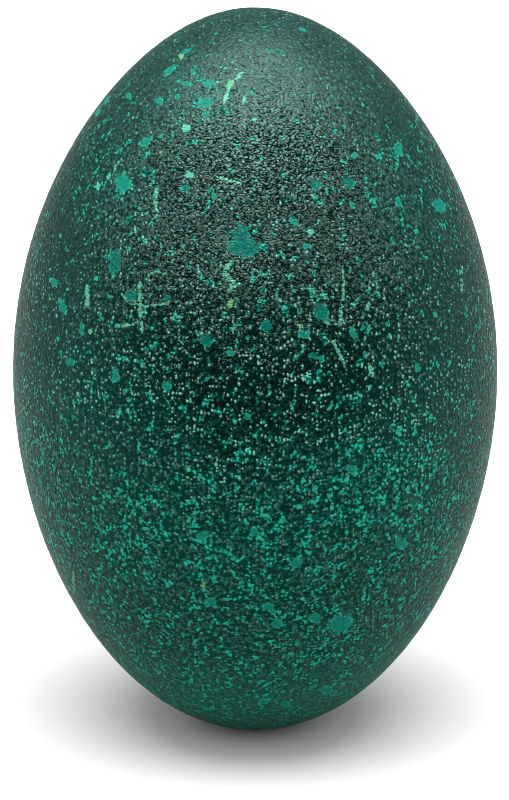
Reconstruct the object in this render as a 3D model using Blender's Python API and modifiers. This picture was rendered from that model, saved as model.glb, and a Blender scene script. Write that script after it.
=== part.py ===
"""An emu egg, standing on its blunter end.

The shell is one piece that was grown in one: a long, nearly elliptical egg, a little more
pointed at the top. It is turned from one profile about the vertical axis. Its lowest point is a
small flat spot, which the egg stands on. The origin is the middle of that spot, on the surface
that it stands on, and +Z runs along the egg's axis towards the more pointed end.

The dark granules and the paler speckles between them are under a tenth of a millimetre deep, so
the solid leaves them out.
"""

import math

import bpy

# Driving dimensions, in metres.
EGG_LENGTH = 0.1350     # from pole to pole, as it was laid, before the flat spot is taken off
EGG_BREADTH = 0.0880    # twice the radius at half the length
SEAT_DIAMETER = 0.0120  # the flat spot

# How the outline departs from an ellipse. With s the sine of the angle up the outline, from -1
# at the bottom pole to 1 at the top one, the ellipse's radius is multiplied by
# 1 + FLANKS * s**2 + TAPER * s**3. FLANKS draws both ends in, and TAPER thins the top one.
FLANKS = -0.0700
TAPER = -0.0468

# Fineness of the faceted solid.
STEPS_AROUND = 72
STEPS_DOWN = 40

# The shell's mean colour in even light, in linear values.
SHELL_COLOUR = (0.012, 0.074, 0.056, 1.0)
SHELL_ROUGHNESS = 0.5
SHARP_EDGE = math.radians(10)  # only the rim of the flat spot turns by more than this


def clear_scene():
    for thing in list(bpy.data.objects):
        bpy.data.objects.remove(thing, do_unlink=True)


def outline_point(angle):
    """(radius, height over the middle of the length) at an angle up the egg's outline."""
    s = math.sin(angle)
    radius = EGG_BREADTH / 2 * math.cos(angle) * (1 + FLANKS * s**2 + TAPER * s**3)
    return radius, EGG_LENGTH / 2 * s


def seat_angle():
    """The angle near the bottom pole at which the outline is as wide as the flat spot."""
    low, high = -math.pi / 2, -math.pi / 4
    for _ in range(50):
        middle = (low + high) / 2
        if outline_point(middle)[0] < SEAT_DIAMETER / 2:
            low = middle
        else:
            high = middle
    return low


def shell_profile():
    """(x, z) points down the outside, from the top pole to the middle of the flat spot."""
    top, rim = math.pi / 2, seat_angle()
    ground = outline_point(rim)[1]
    points = [(0.0, EGG_LENGTH / 2 - ground)]
    for step in range(1, STEPS_DOWN + 1):
        radius, height = outline_point(top + (rim - top) * step / STEPS_DOWN)
        points.append((radius, height - ground))
    points.append((0.0, 0.0))
    return points


def shell_material():
    material = bpy.data.materials.new("emu eggshell")
    material.use_nodes = True
    shader = material.node_tree.nodes["Principled BSDF"]
    shader.inputs["Base Color"].default_value = SHELL_COLOUR
    shader.inputs["Roughness"].default_value = SHELL_ROUGHNESS
    shader.inputs["Metallic"].default_value = 0.0
    return material


def make_egg(collection):
    profile = shell_profile()
    mesh = bpy.data.meshes.new("egg")
    lines = [(i, i + 1) for i in range(len(profile) - 1)]
    mesh.from_pydata([(x, 0.0, z) for x, z in profile], lines, [])
    mesh.materials.append(shell_material())
    egg = bpy.data.objects.new("egg", mesh)
    collection.objects.link(egg)
    turn = egg.modifiers.new("turned about the long axis", "SCREW")
    turn.axis = "Z"
    turn.angle = 2 * math.pi
    turn.steps = STEPS_AROUND
    turn.render_steps = STEPS_AROUND
    turn.use_merge_vertices = True
    turn.merge_threshold = 0.00001
    return egg


def bake_and_smooth(egg):
    """Makes the turned shape the egg's own mesh, shaded smooth but for the flat spot's rim."""
    graph = bpy.context.evaluated_depsgraph_get()
    turned = bpy.data.meshes.new_from_object(egg.evaluated_get(graph))
    egg.modifiers.clear()
    egg.data = turned
    turned.name = "egg"
    turned.shade_smooth()
    turned.set_sharp_from_angle(angle=SHARP_EDGE)


def main():
    clear_scene()
    collection = bpy.data.collections.new("emu egg")
    bpy.context.scene.collection.children.link(collection)
    bake_and_smooth(make_egg(collection))


main()
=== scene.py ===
"""An emu egg standing on its blunter end, in soft studio light on a pale floor."""

import math

import bpy
import numpy as np
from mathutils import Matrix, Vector


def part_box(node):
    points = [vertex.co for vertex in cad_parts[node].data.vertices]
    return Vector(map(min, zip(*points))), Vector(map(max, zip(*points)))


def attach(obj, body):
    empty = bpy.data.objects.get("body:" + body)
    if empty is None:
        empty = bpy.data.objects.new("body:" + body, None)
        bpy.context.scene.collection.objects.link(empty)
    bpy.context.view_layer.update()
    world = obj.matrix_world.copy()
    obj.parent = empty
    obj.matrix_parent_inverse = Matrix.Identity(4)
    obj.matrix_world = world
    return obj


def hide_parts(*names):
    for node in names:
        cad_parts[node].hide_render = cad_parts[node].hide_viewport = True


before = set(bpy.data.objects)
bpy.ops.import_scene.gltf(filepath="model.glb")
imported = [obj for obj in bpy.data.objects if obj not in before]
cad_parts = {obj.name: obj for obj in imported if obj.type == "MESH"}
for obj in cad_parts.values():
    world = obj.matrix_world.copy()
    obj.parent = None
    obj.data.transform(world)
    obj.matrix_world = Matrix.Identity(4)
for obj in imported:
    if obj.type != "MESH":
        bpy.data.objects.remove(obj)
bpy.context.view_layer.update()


# ---------------------------------------------------------------------------------------------
# The egg. One shell of lime, grown as one piece, with dark green granules on a teal layer. It is
# a long oval, a little more pointed at the top, and stands on a small flat spot at its blunter
# end.

# Its shape comes from a block that is cut into squares of about 0.6 mm, blown up to a ball, drawn
# out to the outline and flattened at the spot where it stands.
MM = 0.001              # lengths are in metres, and the small ones are so many of these
SEAT_RADIUS = 6.0 * MM  # the flat spot
FLANKS = -0.0700        # how far both ends are drawn in from an ellipse
TAPER = -0.0468         # how far the top is thinner than the bottom
SQUARES_ACROSS = 112    # on each side of the block
SQUARES_UP = 160        # on its four upright sides
SKIN = 0.02 * MM        # the shell stays this far inside the solid

egg_low, egg_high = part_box("egg")
breadth = egg_high.x - egg_low.x - 2 * SKIN
height = egg_high.z - egg_low.z - SKIN


def outline_radius(rise):
    """The shell's radius where rise is the sine of the angle up its outline, -1 to 1."""
    ellipse = breadth / 2 * np.sqrt(np.maximum(1 - rise**2, 0))
    return ellipse * (1 + FLANKS * rise**2 + TAPER * rise**3)


# Near the bottom pole, the sine at which the outline is as wide as the flat spot.
bottom_rises = np.linspace(-1, -0.9, 2001)
seat_rise = float(np.interp(SEAT_RADIUS, outline_radius(bottom_rises), bottom_rises))
half_length = height / (1 - seat_rise)


def places_of(piece):
    """Where the piece's vertices are, with a row of X, Y and Z for each."""
    places = np.empty(len(piece.data.vertices) * 3)
    piece.data.vertices.foreach_get("co", places)
    return places.reshape(-1, 3)


def pick_edges(block, axes):
    """In edit mode, selects the edges that run along these axes."""
    bpy.ops.object.mode_set(mode="OBJECT")
    ends = np.empty(len(block.data.edges) * 2, int)
    block.data.edges.foreach_get("vertices", ends)
    first, last = places_of(block)[ends.reshape(-1, 2)].transpose(1, 0, 2)
    runs = np.abs(last - first).argmax(axis=1)
    block.data.vertices.foreach_set("select", np.zeros(len(block.data.vertices), bool))
    block.data.polygons.foreach_set("select", np.zeros(len(block.data.polygons), bool))
    block.data.edges.foreach_set("select", np.isin(runs, axes))
    bpy.ops.object.mode_set(mode="EDIT")


def cut_block(block, axes, squares):
    """Cuts the block into this even number of squares along these axes, in two steps."""
    for cuts in (1, squares // 2 - 1):
        pick_edges(block, axes)
        bpy.ops.mesh.subdivide(number_cuts=cuts)


def lay_out_map(block):
    """Gives each of the block's six sides a tile of its own on its map."""
    tiles_across = 3
    tiles_up = 2
    margin = 0.004  # of a tile, left free along its edges
    block.data.uv_layers.active.name = "OFBake"
    corners = block.data.uv_layers["OFBake"].uv
    for tile, side in enumerate(block.data.polygons):
        upright = abs(side.normal.z) < 0.5
        up = Vector((0, 0, 1)) if upright else Vector((0, 1, 0))
        right = up.cross(side.normal)
        for corner in side.loop_indices:
            place = block.data.vertices[block.data.loops[corner].vertex_index].co
            across, rise = ((1 + place.dot(way)) / 2 for way in (right, up))
            corners[corner].vector = (
                (tile % tiles_across + margin + across * (1 - 2 * margin)) / tiles_across,
                (tile // tiles_across + margin + rise * (1 - 2 * margin)) / tiles_up,
            )


def blow_up(block):
    """Moves the block's vertices out to the shell's outline and flattens the seat."""
    ball = np.tan(places_of(block) * math.pi / 4)  # evens out the squares' widths
    ball /= np.linalg.norm(ball, axis=1, keepdims=True)
    rise = ball[:, 2]
    level = np.hypot(ball[:, 0], ball[:, 1])
    spread = outline_radius(rise) / np.maximum(level, 1e-9)
    ball[:, :2] *= spread[:, None]
    ball[:, 2] = np.maximum(half_length * (rise - seat_rise), 0)
    block.data.vertices.foreach_set("co", ball.ravel())
    block.data.update()


bpy.ops.object.select_all(action="DESELECT")
bpy.ops.mesh.primitive_cube_add(size=2)
shell = bpy.context.object
shell.name = shell.data.name = "egg_shell"
lay_out_map(shell)
bpy.ops.object.mode_set(mode="EDIT")
bpy.ops.mesh.select_mode(type="EDGE")
cut_block(shell, (2,), SQUARES_UP)
cut_block(shell, (0, 1), SQUARES_ACROSS)
bpy.ops.object.mode_set(mode="OBJECT")
blow_up(shell)
bpy.ops.object.shade_smooth()


# The shell's outer layer is laid down in low lumps that run into each other. They are pressed
# inwards from the smooth outline, which their tops keep to.
RELIEF = (  # texture, size of its lumps, depth between them
    ("CLOUDS", 2.6 * MM, 0.10 * MM),
    ("VORONOI", 1.7 * MM, 0.06 * MM),
)

for kind, size, depth in RELIEF:
    lumps = bpy.data.textures.new(f"shell_{kind.lower()}", kind)
    lumps.noise_scale = size
    press = shell.modifiers.new(lumps.name, "DISPLACE")
    press.texture = lumps
    press.texture_coords = "LOCAL"
    press.direction = "NORMAL"
    press.mid_level = 1.0
    press.strength = depth
    bpy.ops.object.modifier_apply(modifier=press.name)

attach(shell, "root")
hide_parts("egg")


# The larger markings. In patches the dark outer layer is missing and the teal one shows; a few
# spots and scratches are rubbed paler. Each lies where it shows from the front, and the side that
# faces away has the same set, turned half round.
CAMERA_RISE = math.radians(18)
CAMERA_DISTANCE = 0.75

middle = Vector((0, 0, half_length * -seat_rise))

# Patches: millimetres across and up from the egg's middle as the camera sees it, half width, half
# height, and lean in degrees.
DEEP_PATCHES = (
    (-2.0, 22.5, 3.6, 1.8, 0), (-2.5, 25.0, 1.8, 2.2, 0), (-25.5, 20.0, 1.3, 2.6, -5),
    (-16.0, 13.5, 0.8, 0.9, -20), (-22.5, 14.0, 1.4, 1.1, 15), (2.0, 8.5, 1.3, 1.2, 0),
    (12.0, 11.0, 1.5, 1.6, 0), (10.5, 3.0, 0.9, 0.8, 0), (-9.0, 6.0, 1.3, 1.3, 0),
    (17.0, 34.5, 1.3, 1.3, 0), (11.0, 34.0, 1.3, 1.1, 0), (-12.5, 33.5, 0.9, 0.8, 0),
)
TEAL_PATCHES = (
    (-24.0, 34.5, 1.7, 2.1, 10), (-15.5, 55.0, 1.9, 0.6, 40), (-12.5, 58.5, 1.0, 0.5, 20),
    (-12.5, 52.5, 1.2, 0.6, 10), (-8.5, 52.5, 1.2, 0.9, 0), (-17.5, 49.5, 0.9, 0.8, 0),
    (-9.0, 49.0, 1.8, 1.0, 15), (-9.0, 47.0, 0.8, 0.7, 0), (-20.0, 42.0, 1.6, 0.9, 30),
    (-28.5, 48.0, 0.5, 1.4, -15), (-27.0, 49.5, 0.5, 0.9, -20), (-23.0, 50.5, 0.6, 0.6, 20),
    (-7.5, 32.0, 0.8, 0.7, 0), (9.5, 23.0, 0.9, 0.7, 0), (7.0, 27.5, 0.8, 1.2, 30),
    (8.5, 62.5, 0.8, 0.4, -15), (18.0, 39.5, 0.7, 0.7, 0), (26.0, 40.5, 1.0, 1.3, 20),
    (33.5, 30.5, 1.2, 1.6, 35), (17.5, 30.5, 0.8, 0.8, 0), (26.0, 31.0, 0.7, 1.2, 10),
    (-35.0, 12.0, 0.8, 1.8, 20), (-36.5, 16.5, 0.7, 0.9, 0), (-31.5, 8.0, 0.5, 1.5, 0),
    (9.0, 7.0, 1.1, 1.0, 0), (8.0, 11.0, 0.6, 0.6, 0), (7.0, 15.0, 0.6, 0.6, 0),
    (18.0, 7.0, 0.7, 1.5, 25), (23.0, 1.5, 0.6, 0.7, 0), (29.5, 1.0, 0.6, 1.0, 0),
    (12.0, 2.5, 0.8, 0.8, 0), (-16.0, -2.5, 1.0, 1.2, 0), (-33.5, 2.0, 0.9, 0.9, 0),
    (-25.5, -0.5, 0.8, 1.4, 0), (-41.5, 23.0, 0.6, 1.2, 0), (-4.5, 3.5, 0.8, 0.8, 0),
    (0.0, -29.0, 1.2, 0.9, 0), (7.5, -34.5, 1.3, 1.0, 10), (17.5, -17.5, 1.2, 1.0, 0),
    (26.5, -31.0, 1.2, 1.2, 0), (-9.5, -29.5, 1.2, 1.0, 0), (-1.5, -8.0, 0.9, 0.8, 0),
    (15.5, -45.5, 2.6, 1.7, 15), (4.0, -45.5, 1.2, 0.9, 0), (11.0, -44.5, 1.2, 1.0, 0),
    (2.5, -42.5, 1.2, 1.0, 0), (-8.0, -41.5, 1.2, 0.9, 0), (13.0, -57.5, 1.2, 0.8, 0),
    (1.5, -59.5, 1.0, 0.7, 0), (5.5, -60.0, 1.0, 0.7, 0),
)
PALE_PATCHES = (
    (-12.5, 44.5, 0.9, 0.8, 0), (0.0, 46.0, 0.7, 0.5, 0), (-2.0, 49.5, 0.5, 0.8, 0),
    (-28.5, 34.0, 0.4, 0.9, 0), (-12.0, 36.0, 0.9, 0.8, 0), (10.0, 25.5, 0.7, 0.7, 0),
    (-30.0, 7.5, 0.5, 0.6, 0), (13.0, 9.0, 0.6, 0.6, 0), (8.0, 11.0, 0.5, 0.5, 0),
    (21.0, 0.5, 0.5, 1.4, 0), (20.5, 12.0, 0.4, 1.1, 0), (24.5, 6.5, 0.4, 0.9, 0),
    (-7.0, -16.5, 0.6, 0.6, 0), (-12.0, -17.5, 0.6, 0.6, 0),
)
STRAW_PATCHES = (
    (-13.5, 57.5, 0.6, 0.5, 0), (-4.5, 52.5, 0.7, 0.8, -20), (-17.0, 40.0, 0.6, 0.5, 0),
    (-4.5, 12.5, 0.6, 1.0, -15), (8.0, 8.5, 0.5, 0.5, 0), (-9.5, -38.5, 0.6, 0.6, 0),
)
TINTS = (  # how pale and how yellow each group is
    (DEEP_PATCHES, 0.0, 0.0), (TEAL_PATCHES, 0.5, 0.0),
    (PALE_PATCHES, 1.0, 0.0), (STRAW_PATCHES, 1.0, 1.0),
)

# Millimetres again: a scratch's half width, then the points that it runs through.
SCRATCHES = (
    (0.35, (-2.5, 54.5), (-4.5, 52.5), (-5.5, 49.5)),
    (0.40, (-4.5, 20.0), (-5.5, 19.0), (-5.5, 17.5), (-3.5, 16.0), (-4.5, 15.0)),
    (0.35, (-18.0, 33.0), (-18.0, 28.5)),
    (0.20, (-6.5, 35.5), (-5.0, 35.0), (-3.0, 34.5)),
    (0.30, (-21.0, 16.0), (-21.0, 11.0), (-20.5, 7.5)),
    (0.20, (-24.0, 14.0), (-23.0, 12.5), (-20.0, 12.0), (-16.5, 12.5)),
    (0.20, (-19.0, 18.0), (-18.0, 18.5), (-16.5, 18.0)),
    (0.35, (-24.5, 8.5), (-22.0, 9.0)),
    (0.25, (16.0, 18.5), (16.0, 14.0), (15.5, 9.0)),
    (0.25, (14.5, 5.0), (16.0, 2.0)),
    (0.25, (37.5, 19.0), (37.5, 15.5)),
    (0.25, (-33.0, -36.5), (-33.0, -39.5)),
    (0.40, (-30.5, 15.5), (-30.5, 12.5)),
    (0.25, (-25.0, 38.0), (-26.5, 35.5)),
    (0.15, (-4.0, 10.5), (-4.0, 7.5)),
)

# Millimetres across, up, half width and half height of regions with more speckles, the two on the
# upper left and right also lighter as painted light from the side lamps, and of the middle region,
# as seen from the front, where the pits between the granules are deepest and painted darker as
# shade.
# region where the pits between the granules are deepest.
CROWDS_AND_LIT_SHOULDERS = (
    (-11.0, 51.0, 11.0, 10.0), (-27.0, 38.0, 13.0, 19.0), (29.0, 35.0, 13.0, 19.0),
    (22.0, -20.0, 16.0, 14.0),
)
DEEP_PITS_AND_SHADE = (1.0, 18.0, 36.0, 54.0)


def see(places):
    """Where points of the shell lie across and up the view from the side that they face."""
    half_turn = np.where(places[:, 1] > 0, -1.0, 1.0)
    away = np.abs(places[:, 1])
    rise = places[:, 2] - middle.z
    nearness = away * math.cos(CAMERA_RISE) + rise * math.sin(CAMERA_RISE)
    up = rise * math.cos(CAMERA_RISE) - away * math.sin(CAMERA_RISE)
    spread = CAMERA_DISTANCE / (CAMERA_DISTANCE - nearness)
    return np.stack((places[:, 0] * half_turn, up), axis=1) * spread[:, None] / MM


def keep(name, vectors):
    """Stores one vector for each of the shell's vertices."""
    store = shell.data.attributes.new(name, "FLOAT_VECTOR", "POINT")
    store.data.foreach_set("vector", vectors.ravel())


def reach_in(seen, across, up, half_width, half_height, lean=0):
    """1 at an oval's middle, 0 on its edge and less outside."""
    lean = math.radians(lean)
    offset = seen - (across, up)
    along = offset @ (math.cos(lean), math.sin(lean)) / half_width
    over = offset @ (-math.sin(lean), math.cos(lean)) / half_height
    return 1 - np.hypot(along, over)


seen = see(places_of(shell))

# For each vertex: how far inside the nearest patch it is, and how pale and yellow that patch is.
FAR_OUTSIDE = -2.0
patches = np.full((len(seen), 3), (FAR_OUTSIDE, 0.0, 0.0))
for group, paleness, warmth in TINTS:
    for patch in group:
        inside = reach_in(seen, *patch)
        nearer = inside > patches[:, 0]
        patches[nearer, 0] = inside[nearer]
        patches[nearer, 1:] = paleness, warmth
keep("patches", patches)

# How many half widths it lies beside the nearest scratch, and how many millimetres from it.
FAR_AWAY = 9.0
scratches = np.full((len(seen), 3), (FAR_AWAY, FAR_AWAY, 0.0))
for half_width, *points in SCRATCHES:
    for start, end in zip(np.array(points), np.array(points[1:])):
        run = end - start
        offset = seen - start
        share = np.clip(offset @ run / (run @ run), 0, 1)
        gap = np.linalg.norm(offset - share[:, None] * run, axis=1)
        beside = (offset @ (-run[1], run[0])) / math.hypot(*run)
        nearer = gap < scratches[:, 1]
        scratches[nearer, 0] = beside[nearer] / half_width
        scratches[nearer, 1] = gap[nearer]
keep("scratches", scratches)

# How far inside a region with more speckles it is (two of them also carry painted light), and
# inside the one with the deepest pits and painted shade.
speckled_and_lit = np.max([reach_in(seen, *crowd) for crowd in CROWDS_AND_LIT_SHOULDERS], axis=0)
pitted_and_shaded = reach_in(seen, *DEEP_PITS_AND_SHADE)
keep("regions", np.stack((speckled_and_lit, pitted_and_shaded, 0 * pitted_and_shaded), axis=1))


class Wire:
    """One socket of a material. Arithmetic on it adds Math nodes, and node() adds any other."""

    def __init__(self, socket):
        self.socket = socket

    def node(self, kind, inputs=(), output=0, **settings):
        """A new node with these settings and inputs, as the wire of one of its outputs."""
        made = self.socket.id_data.nodes.new(kind)
        for name, value in settings.items():
            setattr(made, name, value)
        feed(made, dict(inputs))
        return Wire(made.outputs[output])

    def math(self, operation, *values):
        return self.node("ShaderNodeMath", enumerate(values), operation=operation)

    def __add__(self, other):
        return self.math("ADD", self, other)

    def __radd__(self, other):
        return self.math("ADD", other, self)

    def __sub__(self, other):
        return self.math("SUBTRACT", self, other)

    def __rsub__(self, other):
        return self.math("SUBTRACT", other, self)

    def __mul__(self, other):
        return self.math("MULTIPLY", self, other)

    def __rmul__(self, other):
        return self.math("MULTIPLY", other, self)

    def __abs__(self):
        return self.math("ABSOLUTE", self)

    def step(self, start, end):
        """0 up to start, 1 from end on, and smooth between. Start may be the higher of the two."""
        inputs = {"Value": self, "From Min": start, "From Max": end}
        return self.node("ShaderNodeMapRange", inputs, interpolation_type="SMOOTHSTEP")

    def moved(self, other):
        return self.node("ShaderNodeVectorMath", {0: self, 1: other}, operation="ADD")

    def scaled(self, factor):
        return self.node("ShaderNodeVectorMath", {0: self, "Scale": factor}, operation="SCALE")

    def stretched(self, factors):
        return self.node("ShaderNodeVectorMath", {0: self, 1: factors}, operation="MULTIPLY")

    def noise(self, size, output=0, detail=2.0):
        """Soft noise in lumps of this size, in millimetres, about 0.5."""
        inputs = {"Vector": self, "Scale": 1 / size, "Detail": detail}
        return self.node("ShaderNodeTexNoise", inputs, output)

    def wobble(self, size, amount, detail=2.0):
        """The same noise about 0, with this amount between its lowest and highest values."""
        return (self.noise(size, detail=detail) - 0.5) * amount

    def cells(self, size, output="Distance"):
        """Rounded cells of this size, in millimetres, loosely spread."""
        inputs = {"Vector": self, "Scale": 1 / size, "Randomness": 0.8}
        return self.node("ShaderNodeTexVoronoi", inputs, output, feature="SMOOTH_F1")

    def red(self):
        """This colour's red channel, such as a cell's own chance number."""
        return self.node("ShaderNodeSeparateColor", {"Color": self}, "Red")

    def part(self, axis):
        """This vector's X, Y or Z."""
        return self.node("ShaderNodeSeparateXYZ", {0: self}, axis)

    def stored(self, name):
        """The vector that the shell's vertices store under this name."""
        return self.node("ShaderNodeAttribute", (), "Vector", attribute_name=name)

    def mix(self, first, second):
        """A colour between these two, by this wire's value."""
        return self.node("ShaderNodeMix", {0: self, 6: first, 7: second}, 2, data_type="RGBA")


def feed(node, inputs):
    """Sets a node's inputs to these values, or links them where a value is a wire."""
    for name, value in inputs.items():
        if isinstance(value, Wire):
            node.id_data.links.new(value.socket, node.inputs[name])
        else:
            node.inputs[name].default_value = value


def colour(red, green, blue):
    """An sRGB colour, 0 to 255, as the linear one that a shader takes."""
    parts = np.array((red, green, blue)) / 255
    linear = np.where(parts <= 0.04045, parts / 12.92, ((parts + 0.055) / 1.055) ** 2.4)
    return (*linear.tolist(), 1.0)


# The finish. Dark green granules with a satin gloss stand on a matt layer, which is teal in
# speckles;
# the pits between them are coloured darker, as painted shade. A zone starts at its first height
# and is full from its second on. Heights and sizes are in millimetres.
CROWN = (112, 128)
UPPER = (62, 108)
RIDGED = (62, 100)               # where wavy ridges stand among the granules
BAND = (80, 48)                  # round the lower half
FOOT = (30, 6)

GRANULE = 0.64
WANDER = 0.3                     # how far granules are moved out of even rows, end to end
WANDER_LENGTH = 0.9
RIPPLE = 0.52                    # the wavy ridges
RIPPLE_FORM = (0.75, 0.75, 1.2)  # they are drawn out sideways
GRIT = 0.34                      # the fine roughness of granules and ridges
SPECKLE = 1.4
SPECKLE_FORM = (1, 1, 0.75)      # they are drawn out upwards
SPECKLE_CROWD = 5.0              # from where speckles are close to where they are thin
TIP_GLINT_CROWD = 14.0                 # and the same for pale tips and painted glints
REGION_EDGE = 9.0                # the wavy edge of the region with the deepest pits
RAGGED_EDGE = 0.8                # the edges of patches and scratches
SCRATCH_BREAK = 1.6
TONE = 2.5                       # from lighter to darker speckles and tips
RELIEF_HEIGHT = 0.46             # from the pits to the granules' tops

DARK_GREEN = colour(4, 44, 39)      # granules of the upper part
PITTED_SHADE_GREEN = colour(0, 31, 25)    # among the deepest pits, darker as painted shade
# painted sheen: the crown's ground is lighter
CROWN_SHEEN_GREEN = colour(12, 60, 54)
SLATE_GREEN = colour(26, 62, 55)    # in the band, away from the speckles
BAND_GREEN = colour(12, 63, 52)     # in the band, among the speckles
CROWDED_LIT_GREEN = colour(6, 66, 57)   # in the regions with more speckles, lighter as painted light on the shoulders
# painted light: the foot is lighter, as if lit from the floor
FOOT_PAINTED_LIGHT = colour(24, 96, 78)
UPPER_PAINTED_SHADE = colour(0, 12, 10)     # painted shade, darkens the upper part against the overhead lamp
# Painted shade: the pits are coloured darker than the granules, darkest in the middle region.
PIT_SHADE = colour(0, 36, 30)
DEEP_PIT_SHADE = colour(0, 9, 7)
TEAL_PIT_SHADE = colour(0, 38, 32)
DARK_TEAL = colour(0, 95, 83)       # speckles
LIGHT_TEAL = colour(14, 117, 101)
TOP_TEAL = colour(27, 134, 115)     # their highest granules
# tips: rubbed paler tops of granules, partly painted glints
DULL_TIP_GLINT = colour(16, 100, 84)
UPPER_TIP_GLINT = colour(92, 178, 154)
BAND_TIP_GLINT = colour(66, 160, 130)
DEEP_RIM = colour(18, 106, 88)      # patches
DEEP_MIDDLE = colour(0, 70, 61)
TEAL_RIM = colour(34, 120, 100)
TEAL_MIDDLE = colour(4, 88, 77)
PALE_SPOT = colour(58, 126, 106)
STRAW_SPOT = colour(74, 116, 74)
SCRATCH = colour(56, 120, 98)
GLOSS_TINT = (0.65, 1.0, 0.9, 1.0)

finish = bpy.data.materials.new("granulated_eggshell")
finish.use_nodes = True
nodes = finish.node_tree.nodes
place = Wire(nodes.new("ShaderNodeTexCoord").outputs["Object"]).scaled(1 / MM)

# Where on the egg: the zones by height, the regions with more speckles and painted light, and the
# one with the deepest pits and painted shade. From here on, the plain numbers in formulas are
# shares and thresholds.
level = place.part("Z")
crown = level.step(*CROWN)
upper = level.step(*UPPER)
band = level.step(*BAND)
foot = level.step(*FOOT)
regions = place.stored("regions")
crowding_and_light = regions.part("X").step(0.0, 0.7)
pitting_and_shade = (regions.part("Y") + place.wobble(REGION_EDGE, 0.4)).step(0.0, 0.6)
shallow = 1 - pitting_and_shade

# Granules: rounded lumps that run into each other, with pits between them, and in the upper
# middle wavy ridges among them.
way = place.noise(WANDER_LENGTH, "Color", detail=0.0).moved((-0.5, -0.5, -0.5))
bent = place.moved(way.scaled(WANDER))
mound = 1 - bent.cells(GRANULE).step(0.0, 0.75)
wave = place.stretched(RIPPLE_FORM).noise(RIPPLE, detail=0.0)
ridge = abs(wave - 0.5).step(-0.02, 0.15)
granules = place.noise(GRIT, detail=0.0) * 0.5 + 0.03 + 0.85 * mound
heap = granules + (ridge - mound) * level.step(*RIDGED) * pitting_and_shade * 0.5
top = heap.step(0.42, 0.85)

# Speckles of the teal layer, thickest in the band and in the crowded regions.
crowd = band * 0.095 + crowding_and_light * 0.06 - upper * 0.02 - crown * 0.02
crowd = crowd + place.wobble(SPECKLE_CROWD, 0.25)
drawn = place.stretched(SPECKLE_FORM)
teal = (drawn.noise(SPECKLE, detail=1.0) + crowd).step(0.60, 0.70)

# Tips: the rubbed, paler tops of single granules, partly painted glints of the overhead lamp, here
# more and there fewer.
chance = bent.cells(GRANULE, "Color").red()
rarity = upper * 0.14 + band * 0.2 - place.wobble(TIP_GLINT_CROWD, 0.8, detail=1.0)
tip_and_glint = (granules + (chance - 0.5) * 1.1 - rarity).step(0.85, 1.35)

# The larger patches have ragged edges, a lighter rim and a mottled middle.
stored = place.stored("patches")
within = stored.part("X")
paleness = stored.part("Y")
warmth = stored.part("Z")
bare = (within + place.wobble(RAGGED_EDGE, 1.3)).step(0.0, 0.3)
deep = (within + (heap - 0.6) * 0.6).step(-0.1, 0.5)
spot = warmth.mix(PALE_SPOT, STRAW_SPOT)
lighter = paleness.step(0.5, 1.0).mix(deep.mix(TEAL_RIM, TEAL_MIDDLE), spot)
patch_shade = paleness.step(0.0, 0.5).mix(deep.mix(DEEP_RIM, DEEP_MIDDLE), lighter)

# Scratches: thin pale lines that break off here and there.
stroke = place.stored("scratches")
aside = abs(stroke.part("X") + place.wobble(RAGGED_EDGE, 3.0))
broken = (heap + place.wobble(SCRATCH_BREAK, 1.2)).step(0.3, 0.7)
scratch = aside.step(1.3, 0.5) * stroke.part("Y").step(0.8, 0.4) * broken

# The colour: pits in painted shade and granules, speckles, tips with painted glints, painted shade
# on the upper part and painted light on the foot, and the larger markings over them all.
# The ground: painted sheen at the crown, painted shade among the deepest pits and painted light in
# the shoulder regions.
ground = band.mix(
    crown.mix(pitting_and_shade.mix(DARK_GREEN, PITTED_SHADE_GREEN), CROWN_SHEEN_GREEN),
    crowd.step(0.0, 0.12).mix(SLATE_GREEN, BAND_GREEN),
)
ground = (crowding_and_light * 0.5).mix(ground, CROWDED_LIT_GREEN)
# Painted shade in the pits between the granules.
pit_shade = teal.mix(pitting_and_shade.mix(PIT_SHADE, DEEP_PIT_SHADE), TEAL_PIT_SHADE)
tone = place.noise(TONE)
speckle = heap.step(0.5, 1.1).mix(tone.mix(DARK_TEAL, LIGHT_TEAL), TOP_TEAL)
# Rubbed tips, partly painted glints.
rubbed_and_glint = tone.mix(DULL_TIP_GLINT, band.mix(UPPER_TIP_GLINT, BAND_TIP_GLINT))
shade = tip_and_glint.mix(top.mix(pit_shade, teal.mix(ground, speckle)), rubbed_and_glint)
# Painted shade: the upper part and the crown are darkened against the overhead lamp.
shade = ((upper * 0.35 + crown * 0.15) * (1 - teal * 0.35)).mix(shade, UPPER_PAINTED_SHADE)
# Painted light: the foot is lightened, as if by light from the floor.
shade = (foot * 0.3).mix(shade, FOOT_PAINTED_LIGHT)
shade = scratch.mix(bare.mix(shade, patch_shade), SCRATCH)

# The granules' relief, which is lower on the upper part, in patches and where pits are shallow.
steep = (0.75 + pitting_and_shade * 0.25) * (1 - upper * 0.25) * (1 - crown * 0.5)
relief = (heap + tip_and_glint * 0.6) * steep * (1 - bare * 0.3)
bump = relief.node("ShaderNodeBump", {"Height": relief, "Distance": RELIEF_HEIGHT * MM})

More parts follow.
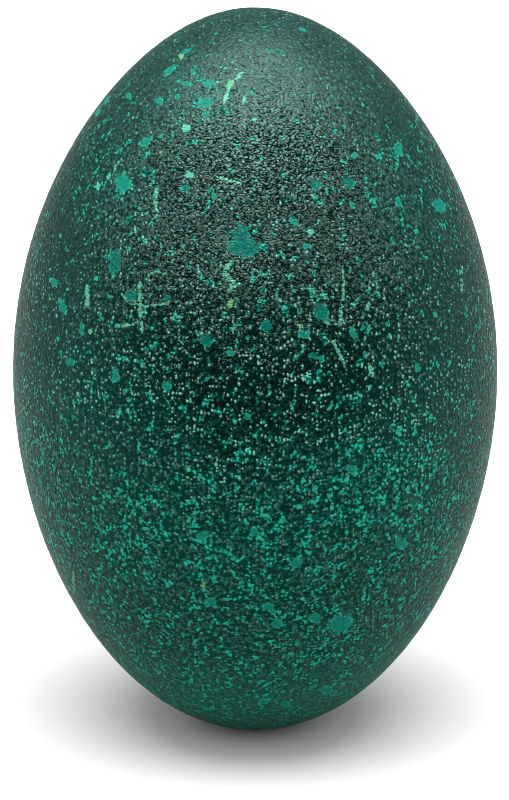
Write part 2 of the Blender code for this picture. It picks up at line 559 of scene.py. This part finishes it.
# The granules are glossy on top and the layer under them is matt. Below the upper part many have
# lost their gloss, and where the pits are shallow it is even and weak. Seen edge on it is even
# too, and weaker except at the crown, because rough granules hide each other's tops.
edge_on = place.node("ShaderNodeLayerWeight", {"Blend": 0.5}, "Facing").step(0.1, 0.6)
worn = (1 - upper) * (chance - 0.78)
glossy = heap - band * 0.05 - upper * 0.05 + crown * 0.24 + shallow * 0.2 + worn
glossy = glossy.step(0.51, 0.87)
glossy = glossy + (0.6 - glossy) * edge_on * 0.8
weak = (1 - teal * 0.7) * (1 - bare * 0.65) * (1 - shallow * (1 - crown * 0.35) * 0.55)
cover = glossy * weak * (1 - crown * 0.24 - edge_on * (1 - crown) * 0.35)
shared = {"Base Color": shade, "Specular Tint": GLOSS_TINT, "Normal": bump}
matt = bump.node(
    "ShaderNodeBsdfPrincipled",
    {**shared, "Roughness": 0.5, "Specular IOR Level": 0.015},
)
satin = nodes["Principled BSDF"]
feed(satin, {**shared, "Roughness": crown * 0.2 + 0.24, "Specular IOR Level": 0.52})
both = cover.node("ShaderNodeMixShader", {0: cover, 1: matt, 2: Wire(satin.outputs[0])})
feed(nodes["Material Output"], {"Surface": both})
shell.data.materials.clear()
shell.data.materials.append(finish)


# ---------------------------------------------------------------------------------------------
# The studio: a pale floor in a dim room, under a large soft light overhead, with a wider and
# fainter one nearer the camera, one on each side and one in front. The camera looks down a little.

FLOOR_SIZE = 6.0
FLOOR_GREY = 0.43
ROOM_LIGHT = 0.6
LENS = 185.8          # millimetres, as is the sensor's width
SENSOR = 36
AIM_DROP = 4.70 * MM  # the camera aims this far below the middle of the egg
AIM_LEFT = 0.13 * MM

bpy.ops.object.select_all(action="DESELECT")
bpy.ops.mesh.primitive_plane_add(size=FLOOR_SIZE)
floor = bpy.context.object
floor.name = "floor"
paint = bpy.data.materials.new("pale_floor")
paint.use_nodes = True
feed(
    paint.node_tree.nodes["Principled BSDF"],
    {
        "Base Color": (FLOOR_GREY, FLOOR_GREY, FLOOR_GREY, 1),
        "Roughness": 0.9,
        "Specular IOR Level": 0.0,
    },
)
floor.data.materials.append(paint)


def soft_light(name, radiance, width, depth, distance, rise, turn=0):
    """An oval soft light that faces the egg, turned from the camera's side towards the right."""
    rise = math.radians(rise)
    turn = math.radians(turn)
    level_part = Vector((math.sin(turn), -math.cos(turn), 0)) * math.cos(rise)
    back = level_part + Vector((0, 0, math.sin(rise)))
    area = math.pi * (width / 2) * (depth / 2)
    lamp = bpy.data.lights.new(name, "AREA")
    lamp.shape = "ELLIPSE"
    lamp.size = width
    lamp.size_y = depth
    lamp.energy = radiance * math.pi * area
    holder = bpy.data.objects.new(name, lamp)
    holder.location = middle + back * distance
    holder.rotation_euler = back.to_track_quat("Z", "Y").to_euler()
    bpy.context.scene.collection.objects.link(holder)


soft_light("overhead", 10.2, 2.6, 1.9, distance=2.0, rise=85)
soft_light("canopy", 0.7, 5.0, 5.0, distance=2.4, rise=65)
soft_light("front", 1.2, 4.0, 4.0, distance=2.5, rise=50)
soft_light("left", 1.4, 3.0, 3.0, distance=2.4, rise=32, turn=-90)
soft_light("right", 1.4, 3.0, 3.0, distance=2.4, rise=32, turn=90)

room = bpy.data.worlds.new("room")
room.use_nodes = True
feed(room.node_tree.nodes["Background"], {"Color": (1, 1, 1, 1), "Strength": ROOM_LIGHT})
bpy.context.scene.world = room
bpy.context.scene.cycles.filter_width = 1.0  # in pixels, which keeps the granules crisp
bpy.context.scene.view_settings.view_transform = "Standard"

camera = bpy.data.cameras.new("camera")
camera.lens = LENS
camera.sensor_width = SENSOR
camera_holder = bpy.data.objects.new("camera", camera)
back = Vector((0, -math.cos(CAMERA_RISE), math.sin(CAMERA_RISE)))
up = Vector((0, math.sin(CAMERA_RISE), math.cos(CAMERA_RISE)))
aim = middle - up * AIM_DROP - Vector((AIM_LEFT, 0, 0))
camera_holder.location = aim + back * CAMERA_DISTANCE
camera_holder.rotation_euler = back.to_track_quat("Z", "Y").to_euler()
bpy.context.scene.collection.objects.link(camera_holder)
bpy.context.scene.camera = camera_holder
